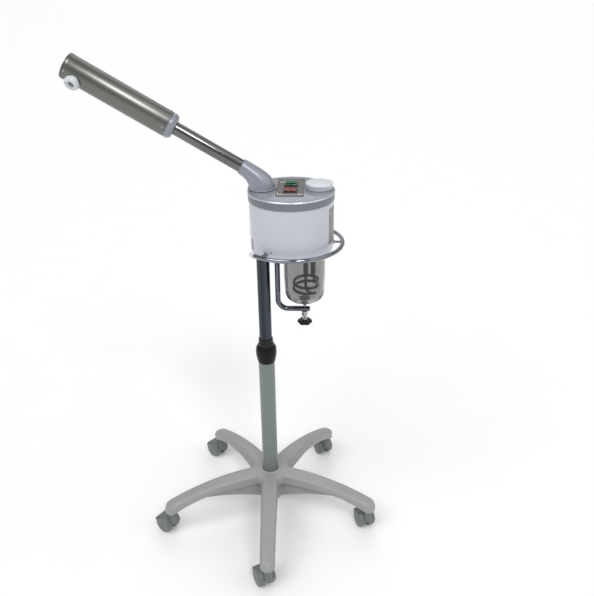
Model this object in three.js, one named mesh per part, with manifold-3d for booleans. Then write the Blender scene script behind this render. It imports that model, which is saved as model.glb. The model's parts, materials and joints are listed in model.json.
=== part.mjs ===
// Salon facial steamer on a five-castor stand: a ribbed star base on twin-wheel castors, a telescopic
// column with a twist lock, and a swivelling head that holds the boiler jar, the switches, the water
// filler and a rotating steam arm with an ozone barrel and a nozzle. Millimetres, +Z up.
import * as THREE from 'three';
import { mergeVertices } from 'three/addons/utils/BufferGeometryUtils.js';
import Module from 'manifold-3d';

const wasm = await Module();
wasm.setup();

// ---------------------------------------------------------------- driving dimensions
const GAP = 0.3; // clearance kept between pieces that touch or run in each other
const COLUMN = [65.8, 4.9]; // column axis, measured from the middle of the whole object's footprint

// star base
const LEGS = 5;
const FIRST_LEG = -93.4; // direction of the first leg, degrees
const LEG_REACH = 285; // column axis to castor stem
const LEG_HALF_ROOT = 22.5; // half the leg's width at the hub
const LEG_HALF_TIP = 19;
const LEG_WALL = 4;
const HUB_TOP = 150;
const HUB_FOOT = 55;
const TIP_TOP = 104;
const TIP_FOOT = 74; // underside of a leg where its castor stem enters
const SKIRT_ROOT = 120; // lower edge of the leg's side walls at the hub

// castors
const WHEEL_RADIUS = 25;
const WHEEL_SIDES = 20;
const CASTOR_TRAIL = 24; // castor stem to wheel axle
const CASTOR_HEADINGS = [114, 104, 112, 132, 140]; // way each hood trails, degrees
const STEM_RADIUS = 5.5;
const HOOD_TOP = 70.5;

// column
const LOWER_RADIUS = 21;
const LOWER_TOP = 520;
const UPPER_RADIUS = 16;
const UPPER_FOOT = 335;
const UPPER_TOP = 858;
const COLLET_TOP = 574;

// head, in its own frame: X from the column axis to the body's middle
const HEAD_YAW = -5.5; // degrees
const BODY_X = 70.8;
const BODY_RADIUS = 98;
const SHELL_WALL = 2.5;
const PLATE_FOOT = 824;
const SHELL_FOOT = 829;
const SHELL_TOP = 944;
const COVER_TOP = 966.5;
const COVER_RADIUS = 100;
const RING_RADIUS = 120;
const RING_Z = 836;
const RING_HALF_ANGLE = 136.6; // the ring handle is open on the column's side
const SPOKE_ANGLES = [0, 124.5, -124.5];

// jar and its clamp
const JAR_X = 100;
const JAR_FOOT = 686;
const JAR_TOP = 817;
const ROD_X = 34;
const ROD_RADIUS = 6.5;
const ROD_BEND = 26;
const ROD_LOW_Z = 657.5; // middle of the rod's horizontal leg
const KNOB_Z = 622;

// switches, filler and power inlet
const SWITCH_X = 70;
const SWITCH_Y = [19, -25]; // green and red
const SWITCH_TILT = 7; // degrees, half a rocker's throw
const FILLER_X = 135;
const HOSE_X = 72; // steam hose
const STEM_1_X = 103; // heater stems
const STEM_2_X = 121;
const CAP_RADIUS = 31.5;
const INLET_Z = 856;

// steam arm
const ARM_TILT = 31; // elevation, degrees
const MOUTH = [-40.6, 1017.9]; // X and Z of the elbow's mouth
const ARM_RADIUS = 15;
const BARREL_RADIUS = 29;
const BARREL_START = 183.3; // measured from the elbow's mouth
const BARREL_END = 424;
const NOZZLE_AT = 395;
const NOZZLE_ROLL = 55; // nozzle's turn from straight down, degrees

// ---------------------------------------------------------------- shape helpers
const rad = THREE.MathUtils.degToRad;

// Closed solid of a closed geometry.
function solid(geometry) {
  const plain = geometry.clone();
  plain.deleteAttribute('normal');
  plain.deleteAttribute('uv');
  const merged = mergeVertices(plain, 1e-4);
  const index = merged.index.array;
  const triVerts = [];
  for (let i = 0; i < index.length; i += 3) {
    const [a, b, c] = index.slice(i, i + 3);
    if (a !== b && b !== c && c !== a) triVerts.push(a, b, c);
  }
  return new wasm.Manifold(new wasm.Mesh({
    numProp: 3,
    vertProperties: new Float32Array(merged.attributes.position.array),
    triVerts: new Uint32Array(triVerts),
  }));
}

// Geometry of a solid.
function geometryOf(manifold) {
  const mesh = manifold.getMesh();
  const geometry = new THREE.BufferGeometry();
  geometry.setAttribute('position', new THREE.BufferAttribute(mesh.vertProperties, 3));
  geometry.setIndex(new THREE.BufferAttribute(mesh.triVerts, 1));
  geometry.computeVertexNormals();
  return geometry;
}

const join = (...parts) => parts.reduce((whole, part) => whole.add(part));
const cut = (whole, ...parts) => parts.reduce((rest, part) => rest.subtract(part), whole);

// Solid turned about Z from [radius, z] points, anticlockwise; a profile off the axis closes on itself.
function turned(profile, sides = 24) {
  const points = profile.map(([r, z]) => new THREE.Vector2(r, z));
  if (profile[0][0] > 0) points.push(points[0].clone());
  return solid(new THREE.LatheGeometry(points, sides).rotateX(Math.PI / 2));
}

const rod = (radius, z0, z1, sides = 24) => turned([[0, z0], [radius, z0], [radius, z1], [0, z1]], sides);

function pipe(outer, inner, z0, z1, sides = 24) {
  return turned([[inner, z0], [outer, z0], [outer, z1], [inner, z1]], sides);
}

function block(x0, x1, y0, y1, z0, z1) {
  const box = new THREE.BoxGeometry(x1 - x0, y1 - y0, z1 - z0);
  return solid(box.translate((x0 + x1) / 2, (y0 + y1) / 2, (z0 + z1) / 2));
}

const moved = (part, x, y, z = 0) => part.translate([x, y, z]);

// Solid between two heights with the outline of a list of [x, y] points.
function slab(outline, z0, z1) {
  const shape = new THREE.Shape(outline.map(([x, y]) => new THREE.Vector2(x, y)));
  const geometry = new THREE.ExtrudeGeometry(shape, { depth: z1 - z0, bevelEnabled: false });
  return solid(geometry.translate(0, 0, z0));
}

// Solid between y = -half and y = half with the side view of a list of [x, z] points.
function upright(outline, half) {
  const shape = new THREE.Shape(outline.map(([x, z]) => new THREE.Vector2(x, z)));
  const geometry = new THREE.ExtrudeGeometry(shape, { depth: 2 * half, bevelEnabled: false });
  return solid(geometry.rotateX(Math.PI / 2).translate(0, half, 0));
}

// Round bar along a curve.
function bar(curve, radius, sides, steps) {
  const shape = new THREE.Shape();
  for (let i = 0; i < sides; i += 1) {
    const a = (2 * Math.PI * i) / sides;
    const [x, y] = [radius * Math.cos(a), radius * Math.sin(a)];
    if (i === 0) shape.moveTo(x, y);
    else shape.lineTo(x, y);
  }
  return solid(new THREE.ExtrudeGeometry(shape, { steps, extrudePath: curve, bevelEnabled: false }));
}

const curveThrough = (points) => new THREE.CatmullRomCurve3(
  points.map(([x, y, z]) => new THREE.Vector3(x, y, z)), false, 'centripetal');

// Points of an arc in a plane: middle, radius and start and end angles in degrees.
function arc(cx, cy, radius, from, to, count) {
  return Array.from({ length: count + 1 }, (_, i) => {
    const a = rad(from + ((to - from) * i) / count);
    return [cx + radius * Math.cos(a), cy + radius * Math.sin(a)];
  });
}

const samples = (from, to, count, f) => Array.from({ length: count + 1 }, (_, i) => {
  const x = from + ((to - from) * i) / count;
  return [x, f(x)];
});

// ---------------------------------------------------------------- finishes
const FINISHES = {
  base_plastic: ['#a0a3a3', 0.45, 0],
  castor_plastic: ['#6f7874', 0.5, 0],
  steel: ['#a8abb0', 0.35, 1],
  column_paint: ['#7f8886', 0.4, 0.1],
  black_plastic: ['#16181a', 0.4, 0],
  chrome: ['#c9ccd2', 0.1, 1],
  white_plastic: ['#dfe4ea', 0.35, 0],
  silver_plastic: ['#9398a0', 0.35, 0.2],
  panel: ['#7d8580', 0.45, 0],
  green_lens: ['#145a3c', 0.25, 0],
  red_lens: ['#8c2828', 0.25, 0],
  glass: ['#dfe6e4', 0.05, 0],
  rubber: ['#2a2a2a', 0.8, 0],
  silicone: ['#d8d4c8', 0.6, 0],
  brushed_steel: ['#b4b6b2', 0.3, 1],
  lamp_glass: ['#cdd6ea', 0.1, 0],
  iron: ['#5a5652', 0.6, 0.6],
};

function addPiece(parent, name, manifold, finish) {
  const [color, roughness, metalness] = FINISHES[finish];
  const mesh = new THREE.Mesh(
    geometryOf(manifold), new THREE.MeshStandardMaterial({ color, roughness, metalness }));
  mesh.name = name;
  parent.add(mesh);
  return mesh;
}

// ---------------------------------------------------------------- star base
// Heights along a leg, r from the column axis.
const legTop = (r) => HUB_TOP - (HUB_TOP - TIP_TOP) * Math.max(0, (r - 40) / (LEG_REACH - 40)) ** 2.2;
const skirtFoot = (r) => SKIRT_ROOT
  - (SKIRT_ROOT - TIP_FOOT) * Math.max(0, (r - 100) / (LEG_REACH - 100)) ** 2.4;
const webFoot = (r) => 100 - 56 * (1 - r / 230) ** 2;

function leg() {
  const end = LEG_REACH + LEG_HALF_TIP;
  const side = [
    ...samples(0, end, 9, (r) => Math.max(TIP_FOOT, skirtFoot(r))),
    ...samples(0, end, 9, legTop).reverse(),
  ];
  const plan = [
    [0, -LEG_HALF_ROOT], [100, -LEG_HALF_ROOT],
    ...arc(LEG_REACH, 0, LEG_HALF_TIP, -90, 90, 8),
    [100, LEG_HALF_ROOT], [0, LEG_HALF_ROOT],
  ];
  const outer = upright(side, LEG_HALF_ROOT).intersect(slab(plan, 0, HUB_TOP));
  const pocketEnd = LEG_REACH - 22; // a solid boss is left round the castor stem
  const pocketSide = [
    [30, TIP_FOOT - 20], [pocketEnd, TIP_FOOT - 20],
    ...samples(30, pocketEnd, 6, (r) => legTop(r) - LEG_WALL).reverse(),
  ];
  const pocketPlan = [
    [30, LEG_WALL - LEG_HALF_ROOT], [100, LEG_WALL - LEG_HALF_ROOT],
    [pocketEnd, LEG_WALL - LEG_HALF_TIP], [pocketEnd, LEG_HALF_TIP - LEG_WALL],
    [100, LEG_HALF_ROOT - LEG_WALL], [30, LEG_HALF_ROOT - LEG_WALL],
  ];
  const pocket = upright(pocketSide, LEG_HALF_ROOT).intersect(slab(pocketPlan, 0, HUB_TOP));
  const webEnd = 224;
  const web = upright([
    ...samples(26, webEnd, 6, webFoot),
    ...samples(26, webEnd, 6, (r) => legTop(r) - LEG_WALL / 2).reverse(),
  ], 6);
  const socket = moved(rod(STEM_RADIUS + 1.5 * GAP, TIP_FOOT - 5, TIP_TOP - 5, 12), LEG_REACH, 0);
  return cut(join(cut(outer, pocket), web), socket);
}

function starBase() {
  const oneLeg = leg();
  const legs = Array.from({ length: LEGS }, (_, k) => oneLeg.rotate([0, 0, FIRST_LEG + (360 / LEGS) * k]));
  const hub = join(
    rod(48, SKIRT_ROOT, HUB_TOP, 32), // fills the corners between the legs
    rod(31, HUB_FOOT, HUB_TOP),
    turned([[0, HUB_TOP - 1], [26, HUB_TOP - 1], [24.5, HUB_TOP + 2.5], [0, HUB_TOP + 2.5]]));
  const bore = rod(LOWER_RADIUS + GAP, HUB_FOOT - 5, HUB_TOP + 5);
  return cut(join(hub, ...legs), bore);
}

// ---------------------------------------------------------------- castors
// Castor frame: Z up through the stem, X the way the hood trails, the floor at z = 0.
const AXLE_Z = WHEEL_RADIUS * Math.cos(Math.PI / WHEEL_SIDES); // a tread facet lies on the floor
const AXLE_RADIUS = 3;
const WHEEL_INNER = 5.5; // inner face of a wheel from the castor's middle
const WHEEL_OUTER = 23.5;
const HOOD_HALF = 21.5; // the hood stops short of the wheels' outer faces

function castorHood() {
  const outer = WHEEL_RADIUS + 3.5;
  const rim = AXLE_Z + 6; // lower edge of the cheeks
  const reach = Math.sqrt(outer ** 2 - 6 ** 2);
  const from = THREE.MathUtils.radToDeg(Math.asin(6 / outer));
  const dome = upright([
    [CASTOR_TRAIL - reach, rim], ...arc(CASTOR_TRAIL, AXLE_Z, outer, from, 180 - from, 10),
  ], HOOD_HALF);
  const boss = rod(11, AXLE_Z + 8, HOOD_TOP, 16);
  const wheelRoom = rodAlongY(WHEEL_RADIUS + 1.2, WHEEL_INNER - 1, WHEEL_OUTER + 5, WHEEL_SIDES);
  const bearing = upright([
    ...arc(CASTOR_TRAIL, AXLE_Z, 9, 180, 360, 6), [CASTOR_TRAIL + 9, rim + 8], [CASTOR_TRAIL - 9, rim + 8],
  ], WHEEL_INNER - 1);
  const stemHole = rod(STEM_RADIUS + GAP, 42, HOOD_TOP + 5, 12);
  const axleHole = rodAlongY(AXLE_RADIUS + GAP, -HOOD_HALF - 5, HOOD_HALF + 5, 10);
  const shell = cut(join(dome, boss), wheelRoom, wheelRoom.mirror([0, 1, 0]));
  return cut(join(shell, bearing), stemHole, axleHole);
}

// Rod on the wheel axle's line, from y0 to y1.
function rodAlongY(radius, y0, y1, sides) {
  return moved(rod(radius, y0, y1, sides).rotate([-90, 0, 0]), CASTOR_TRAIL, 0, AXLE_Z);
}

function castorWheel(side) {
  const bore = AXLE_RADIUS + 1.5 * GAP;
  const wheel = turned([
    [bore, WHEEL_INNER], [WHEEL_RADIUS, WHEEL_INNER], [WHEEL_RADIUS, WHEEL_OUTER - 4],
    [WHEEL_RADIUS - 3, WHEEL_OUTER], [bore, WHEEL_OUTER],
  ], WHEEL_SIDES);
  // half a facet's turn brings a flat of the tread to the bottom
  const facing = wheel.rotate([0, 0, 180 / WHEEL_SIDES]).rotate([side > 0 ? -90 : 90, 0, 0]);
  return moved(facing, CASTOR_TRAIL, 0, AXLE_Z);
}

function castorStem() {
  return join(
    rod(STEM_RADIUS, 44, TIP_TOP - 6, 12),
    rod(9, HOOD_TOP + GAP, TIP_FOOT - GAP, 12));
}

function addCastor(parent, number, heading, legAngle) {
  const castor = new THREE.Group();
  castor.position.set(LEG_REACH * Math.cos(rad(legAngle)), LEG_REACH * Math.sin(rad(legAngle)), 0);
  castor.rotation.z = rad(heading);
  parent.add(castor);
  const name = `castor_${number}`;
  addPiece(castor, `${name}_stem`, castorStem(), 'steel');
  addPiece(castor, `${name}_hood`, castorHood(), 'castor_plastic');
  addPiece(castor, `${name}_axle`, rodAlongY(AXLE_RADIUS, -19, 19, 10), 'steel');
  addPiece(castor, `${name}_wheel_left`, castorWheel(1), 'castor_plastic');
  addPiece(castor, `${name}_wheel_right`, castorWheel(-1), 'castor_plastic');
}

// ---------------------------------------------------------------- telescopic column
function addColumn(parent) {
  addPiece(parent, 'lower_column', pipe(LOWER_RADIUS, LOWER_RADIUS - 2, HUB_FOOT + 2, LOWER_TOP), 'column_paint');
  const bore = UPPER_RADIUS + GAP;
  const collet = turned([
    [bore, LOWER_TOP - 65], [LOWER_RADIUS - 2 - GAP, LOWER_TOP - 65],
    [LOWER_RADIUS - 2 - GAP, LOWER_TOP + GAP], [LOWER_RADIUS - GAP, LOWER_TOP + GAP],
    [LOWER_RADIUS - GAP, COLLET_TOP - 26], [bore + 1.7, COLLET_TOP], [bore, COLLET_TOP],
  ]);
  addPiece(parent, 'column_collet', collet, 'black_plastic');
  const inner = LOWER_RADIUS + GAP;
  const lock = turned([
    [inner, 505], [22.2, 505], [23.6, 511], [25.8, 522], [26.6, 530], [26.6, 539], [25, 547], [22.2, 553], [inner, 553],
  ]);
  addPiece(parent, 'height_lock_collar', lock, 'black_plastic');
  addPiece(parent, 'upper_column', pipe(UPPER_RADIUS, UPPER_RADIUS - 1.7, UPPER_FOOT, UPPER_TOP), 'chrome');
}

// ---------------------------------------------------------------- head: housing
function headSocket() {
  return cut(
    join(rod(23.3, SHELL_FOOT, SHELL_FOOT + 4), rod(20, SHELL_FOOT, 874)),
    rod(UPPER_RADIUS + 0.45, SHELL_FOOT - 5, UPPER_TOP + 8));
}

function basePlate() {
  const plate = moved(rod(BODY_RADIUS, PLATE_FOOT, SHELL_FOOT - GAP, 36), BODY_X, 0);
  return cut(plate,
    rod(UPPER_RADIUS + 2 * GAP, PLATE_FOOT - 5, SHELL_FOOT + 5),
    moved(rod(ROD_RADIUS + 0.5, PLATE_FOOT - 5, SHELL_FOOT + 5, 16), ROD_X, 0),
    moved(rod(46, PLATE_FOOT - 5, SHELL_FOOT + 5, 32), JAR_X, 0));
}

function housingShell() {
  const wall = moved(pipe(BODY_RADIUS, BODY_RADIUS - SHELL_WALL, SHELL_FOOT, SHELL_TOP, 36), BODY_X, 0);
  const inletRoom = block(BODY_X - 14, BODY_X + 14, 60, 120, INLET_Z - 11, INLET_Z + 11);
  return cut(wall, inletRoom);
}

// A round spout that rises from the cover and bends over to the arm, its radius going from root to mouth.
function spout(rootRadius, mouthRadius, inset) {
  const [mx, mz] = MOUTH;
  const along = new THREE.Vector3(-Math.cos(rad(ARM_TILT)), 0, Math.sin(rad(ARM_TILT)));
  const mouth = new THREE.Vector3(mx, 0, mz).addScaledVector(along, inset);
  const root = new THREE.Vector3(4, 0, COVER_TOP - 2.5 - inset);
  const curve = new THREE.CubicBezierCurve3(
    root, root.clone().setZ(COVER_TOP + 24), mouth.clone().addScaledVector(along, -34), mouth);
  const bent = new THREE.CylinderGeometry(1, 1, 1, 20, 6);
  const position = bent.attributes.position;
  for (let i = 0; i < position.count; i += 1) {
    const t = position.getY(i) + 0.5;
    const radius = rootRadius + (mouthRadius - rootRadius) * t ** 0.8;
    const centre = curve.getPoint(t);
    const tangent = curve.getTangent(t);
    // the section's own axes: one across the head, one square to both
    const up = new THREE.Vector3(0, 1, 0).cross(tangent);
    centre.addScaledVector(up, radius * position.getZ(i));
    centre.y += radius * position.getX(i);
    position.setXYZ(i, centre.x, centre.y, centre.z);
  }
  return solid(bent);
}

function topCover() {
  const lid = moved(turned([
    [0, COVER_TOP - 4], [COVER_RADIUS - 3, COVER_TOP - 4],
    [COVER_RADIUS - 3, SHELL_TOP + GAP], [COVER_RADIUS, SHELL_TOP + GAP],
    [COVER_RADIUS, COVER_TOP - 3], [COVER_RADIUS - 3, COVER_TOP], [0, COVER_TOP],
  ], 36), BODY_X, 0);
  const openings = [0, 1].map((index) => switchOpening(index, COVER_TOP - 9, COVER_TOP + 5));
  const fillerHole = moved(rod(20.5, COVER_TOP - 9, COVER_TOP + 5), FILLER_X, 0);
  const steamHole = moved(rod(11, COVER_TOP - 9, COVER_TOP + 5), 5, 0);
  return cut(lid, fillerHole, steamHole, ...openings);
}

// Elbow that stands on the cover and carries the arm.
function armElbow() {
  const [mx, mz] = MOUTH;
  const armBore = moved(rod(ARM_RADIUS + GAP, -32, 10).rotate([0, ARM_TILT - 90, 0]), mx, 0, mz);
  const under = block(-80, 80, -60, 60, COVER_TOP - 60, COVER_TOP + GAP);
  return cut(spout(32, 18, 0), spout(28.5, 14.5, 4), armBore, under);
}

function ringHandle() {
  const arcPoints = arc(0, 0, RING_RADIUS, -RING_HALF_ANGLE, RING_HALF_ANGLE, 36);
  const hoop = bar(curveThrough(arcPoints.map(([x, y]) => [x, y, 0])), 5, 8, 36);
  const spokes = SPOKE_ANGLES.map((angle) => {
    const start = BODY_RADIUS + GAP;
    const stay = join(rod(3, start, RING_RADIUS - 2, 10), rod(6, start, start + 2, 16));
    return stay.rotate([0, 90, angle]);
  });
  return moved(join(hoop, ...spokes), BODY_X, 0, RING_Z);
}

function powerInlet() {
  const face = BODY_RADIUS + GAP;
  const half = 13.2;
  const body = block(-half, half, face - 26, face + 1, INLET_Z - 10, INLET_Z + 10);
  const flange = block(-17, 17, face, face + 2.5, INLET_Z - 13.5, INLET_Z + 13.5);
  const room = block(-11, 11, face - 15, face + 5, INLET_Z - 7.5, INLET_Z + 7.5);
  return moved(cut(join(body, flange), room), BODY_X, 0);
}

// ---------------------------------------------------------------- head: boiler
// Sealing plate over the jar's mouth, with holes for the heater's stems, the filler hose and the steam hose.
function jarSeat() {
  const top = PLATE_FOOT - GAP;
  const hole = (radius, x) => moved(rod(radius, top - 8, top + 5, 12), x, 0);
  return cut(moved(rod(53, top - 3, top, 28), JAR_X, 0),
    hole(6.3, STEM_1_X), hole(6.3, STEM_2_X), hole(7.9, FILLER_X), hole(9.6, HOSE_X));
}

// Heating element: two sheathed stems and a coil of one bent tube between them.
function heaterElement() {
  const coilRadius = 29;
  const coilTop = 741;
  const pitch = 15;
  const turns = 2;
  const coilX = JAR_X + 3;
  const helix = Array.from({ length: turns * 16 + 1 }, (_, i) => {
    const a = rad(-40 + (360 * i) / 16);
    return [coilX + coilRadius * Math.cos(a), coilRadius * Math.sin(a), coilTop - (pitch * i) / 16];
  });
  const foot = coilTop - pitch * turns;
  const path = curveThrough([
    [STEM_2_X, 0, 832], [STEM_2_X, 0, 790], [STEM_2_X, -1, coilTop + 16],
    [STEM_2_X + 2, -9, coilTop + 4], ...helix,
    [STEM_1_X + 13, -14, foot - 3], [STEM_1_X + 3, -6, foot + 1],
    [STEM_1_X, -1, foot + 14], [STEM_1_X, 0, coilTop], [STEM_1_X, 0, 790], [STEM_1_X, 0, 832],
  ]);
  const sheath = (x) => moved(rod(5.8, coilTop + 12, 826, 12), x, 0);
  return join(bar(path, 3.6, 7, 62), sheath(STEM_1_X), sheath(STEM_2_X));
}

// Steam hose from the jar seat up into the spout.
function steamHose() {
  const route = curveThrough([
    [HOSE_X, 0, 818], [HOSE_X, 0, 845], [HOSE_X - 3, 0, 872], [HOSE_X - 18, 0, 898],
    [HOSE_X - 42, 0, 918], [13, 0, 937], [6, 0, 956], [4, 0, 972],
  ]);
  const inner = curveThrough([
    [HOSE_X, 0, 814], [HOSE_X, 0, 845], [HOSE_X - 3, 0, 872], [HOSE_X - 18, 0, 898],
    [HOSE_X - 42, 0, 918], [13, 0, 937], [6, 0, 956], [3.6, 0, 976],
  ]);
  return cut(bar(route, 9, 12, 10), bar(inner, 6.5, 8, 10));
}

// Filler cup let into the cover, with a drain at its bottom.
function fillerNeck() {
  return moved(turned([
    [5.5, 929], [20, 929], [20, COVER_TOP + GAP], [30, COVER_TOP + GAP],
    [30, COVER_TOP + 3], [17.5, COVER_TOP + 3], [17.5, 932], [5.5, 932],
  ]), FILLER_X, 0);
}

function fillerHose() {
  return moved(pipe(7.4, 5.5, 819, 929 - GAP, 12), FILLER_X, 0);
}

function fillerCap() {
  const foot = COVER_TOP + 3 + GAP;
  return moved(turned([
    [0, foot - 9], [16.8, foot - 9], [16.8, foot], [CAP_RADIUS, foot], [CAP_RADIUS + 0.5, foot + 4],
    [CAP_RADIUS, foot + 9], [CAP_RADIUS - 2, foot + 11.5], [0, foot + 12.5],
  ], 28), FILLER_X, 0);
}

// ---------------------------------------------------------------- head: switches
const PANEL_FOOT = COVER_TOP + GAP;
const PANEL_TOP = PANEL_FOOT + 1.5;
const BEZEL_TOP = PANEL_TOP + GAP + 2;
const PIVOT_Z = BEZEL_TOP - 1;

// Room for a switch's body through the cover and the panel.
function switchOpening(index, z0, z1) {
  const y = SWITCH_Y[index];
  return block(SWITCH_X - 15, SWITCH_X + 15, y - 12.3, y + 12.3, z0, z1);
}

function controlPanel() {
  const plate = block(38, 101, -60, 72, PANEL_FOOT, PANEL_TOP);
  const openings = [0, 1].map((index) => switchOpening(index, PANEL_FOOT - 5, PANEL_TOP + 5));
  // the plate's far side is notched round the filler's collar
  return cut(plate, moved(rod(30.8, PANEL_FOOT - 5, PANEL_TOP + 5), FILLER_X, 0), ...openings);
}

// Switch frame: a bezel on the panel and a body through it, with a well for the rocker.
function switchFrame(index) {
  const frame = join(
    block(-16.2, 16.2, -13.5, 13.5, PANEL_TOP + GAP, BEZEL_TOP),
    block(-14.5, 14.5, -11.8, 11.8, PANEL_TOP - 22, BEZEL_TOP));
  const well = block(-13.2, 13.2, -10.3, 10.3, PIVOT_Z - 8.5, BEZEL_TOP + 5);
  return moved(cut(frame, well), SWITCH_X, SWITCH_Y[index]);
}

// Rocker with a shallow V top, tilted so that its back half stands up.
function rocker() {
  const half = 9.5;
  const section = [
    [-half, 3.2], [-half + 1, -1.5], [-4, -6], [4, -6], [half - 1, -1.5], [half, 3.2], [half - 1, 4.6],
    [0, 2.6], [1 - half, 4.6],
  ];
  return upright(section, 12.8).rotate([0, 0, 90]).rotate([SWITCH_TILT, 0, 0]);
}

function addSwitch(head, name, index, lens) {
  addPiece(head, `${name}_switch_frame`, switchFrame(index), 'black_plastic');
  const button = addPiece(head, `${name}_rocker`, rocker(), lens);
  button.position.set(SWITCH_X, SWITCH_Y[index], PIVOT_Z);
}

// ---------------------------------------------------------------- jar clamp
function glassJar() {
  return moved(turned([
    [0, JAR_FOOT], [36, JAR_FOOT], [45.5, JAR_FOOT + 6], [49, JAR_FOOT + 29],
    [50.5, JAR_FOOT + 70], [48.5, JAR_TOP],
    [45.5, JAR_TOP], [47.5, JAR_FOOT + 70], [46, JAR_FOOT + 29],
    [43, JAR_FOOT + 6.5], [0, JAR_FOOT + 4],
  ], 28), JAR_X, 0);
}

function bracketRod() {
  const end = 113;
  const bend = arc(ROD_X + ROD_BEND, ROD_LOW_Z + ROD_BEND, ROD_BEND, 180, 270, 6);
  const path = curveThrough([
    [ROD_X, 0, 846], [ROD_X, 0, 790], [ROD_X, 0, 735], [ROD_X, 0, 700],
    ...bend.map(([x, z]) => [x, 0, z]), [80, 0, ROD_LOW_Z], [end, 0, ROD_LOW_Z],
  ]);
  // a head on the rod carries it on the base plate
  const head = moved(rod(9.5, SHELL_FOOT + GAP, SHELL_FOOT + 6, 16), ROD_X, 0);
  const thread = moved(rod(3.9, ROD_LOW_Z - 12, ROD_LOW_Z + 12, 12), JAR_X, 0);
  return cut(join(bar(path, ROD_RADIUS, 10, 24), head), thread);
}

const PAD_TOP = JAR_FOOT - GAP;
const PAD_FOOT = PAD_TOP - 5;

function addClamp(head) {
  addPiece(head, 'jar_bracket_rod', bracketRod(), 'chrome');
  const pad = turned([[4, PAD_FOOT], [12, PAD_FOOT], [14, PAD_TOP - 2.5], [14, PAD_TOP], [0, PAD_TOP],
    [0, PAD_FOOT + 3], [4, PAD_FOOT + 3]], 24);
  addPiece(head, 'clamp_pad', moved(pad, JAR_X, 0), 'rubber');
  const spindle = join(rod(3.6, KNOB_Z - 3, PAD_FOOT + 2.6, 12), rod(6, KNOB_Z + 4 + GAP, KNOB_Z + 9, 12));
  addPiece(head, 'clamp_spindle', moved(spindle, JAR_X, 0), 'steel');
  const lobes = 6;
  const outline = Array.from({ length: lobes * 6 }, (_, i) => {
    const a = (2 * Math.PI * i) / (lobes * 6);
    const radius = 16.5 + 1.8 * Math.cos(lobes * a);
    return [radius * Math.cos(a), radius * Math.sin(a)];
  });
  const grip = cut(slab(outline, KNOB_Z - 4, KNOB_Z + 4), rod(3.9, KNOB_Z - 3 - GAP, KNOB_Z + 6, 12));
  addPiece(head, 'clamp_knob', moved(grip, JAR_X, 0), 'black_plastic');
}

// ---------------------------------------------------------------- steam arm
// Arm frame: Z along the arm from the elbow's mouth, -X its underside.
function addArm(head) {
  const arm = new THREE.Group();
  arm.position.set(MOUTH[0], 0, MOUTH[1]);
  arm.rotation.y = rad(ARM_TILT - 90);
  head.add(arm);
  const spigot = BARREL_RADIUS - 1.4 - GAP;
  addPiece(arm, 'arm_tube', pipe(ARM_RADIUS, ARM_RADIUS - 1.5, -25, BARREL_START + 6), 'chrome');
  addPiece(arm, 'barrel_collar', turned([
    [ARM_RADIUS + GAP, 167], [23, 167], [28, 173], [BARREL_RADIUS, 177],
    [BARREL_RADIUS, BARREL_START - GAP], [spigot, BARREL_START - GAP],
    [spigot, BARREL_START + 11], [ARM_RADIUS + GAP, BARREL_START + 11],
  ]), 'silver_plastic');

  const nozzleRoom = rod(14.4, 0, BARREL_RADIUS + 20, 24).rotate([0, -90, 0]);
  const room = moved(nozzleRoom.rotate([0, 0, NOZZLE_ROLL]), 0, 0, NOZZLE_AT);
  addPiece(arm, 'barrel_shell',
    cut(pipe(BARREL_RADIUS, BARREL_RADIUS - 1.4, BARREL_START, BARREL_END), room), 'brushed_steel');
  addPiece(arm, 'barrel_end_cap', turned([
    [0, BARREL_END - 9], [spigot, BARREL_END - 9], [spigot, BARREL_END + GAP],
    [BARREL_RADIUS, BARREL_END + GAP], [BARREL_RADIUS - 0.6, BARREL_END + 3], [0, BARREL_END + 3.4],
  ]), 'brushed_steel');
  const lampX = 14;
  addPiece(arm, 'ozone_lamp', moved(turned([
    [0, BARREL_START + 12], [9, BARREL_START + 12], [9, BARREL_START + 32], [7, BARREL_START + 36],
    [7, 320], [4, 328], [0, 330],
  ], 16), lampX, 0), 'lamp_glass');

  const turret = new THREE.Group();
  turret.rotation.y = rad(-90);
  const roll = new THREE.Group();
  roll.rotation.z = rad(NOZZLE_ROLL);
  roll.position.z = NOZZLE_AT;
  roll.add(turret);
  arm.add(roll);
  addPiece(turret, 'steam_nozzle', turned([
    [6.5, 20], [14, 20], [14, BARREL_RADIUS + GAP], [16, BARREL_RADIUS + GAP],
    [16, BARREL_RADIUS + 9], [13, BARREL_RADIUS + 12.5], [6.5, BARREL_RADIUS + 12.5],
  ]), 'white_plastic');
}

// ---------------------------------------------------------------- assembly
const steamer = new THREE.Group();
steamer.position.set(COLUMN[0], COLUMN[1], 0);
addPiece(steamer, 'star_base', starBase(), 'base_plastic');
CASTOR_HEADINGS.forEach((heading, k) => addCastor(steamer, k + 1, heading, FIRST_LEG + (360 / LEGS) * k));
addColumn(steamer);

const head = new THREE.Group();
head.rotation.z = rad(HEAD_YAW);
steamer.add(head);
addPiece(head, 'head_socket', headSocket(), 'iron');
addPiece(head, 'base_plate', basePlate(), 'white_plastic');
addPiece(head, 'housing_shell', housingShell(), 'white_plastic');
addPiece(head, 'top_cover', topCover(), 'silver_plastic');
addPiece(head, 'arm_elbow', armElbow(), 'silver_plastic');
addPiece(head, 'ring_handle', ringHandle(), 'chrome');
addPiece(head, 'power_inlet', powerInlet(), 'black_plastic');
addPiece(head, 'jar_seat', jarSeat(), 'steel');
addPiece(head, 'jar_gasket', moved(pipe(49.8, 43.5, JAR_TOP + GAP, PLATE_FOOT - 3 - 2 * GAP, 28), JAR_X, 0), 'silicone');
addPiece(head, 'heater_element', heaterElement(), 'chrome');
addPiece(head, 'steam_hose', steamHose(), 'silicone');
addPiece(head, 'filler_neck', fillerNeck(), 'white_plastic');
addPiece(head, 'filler_hose', fillerHose(), 'silicone');
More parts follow.
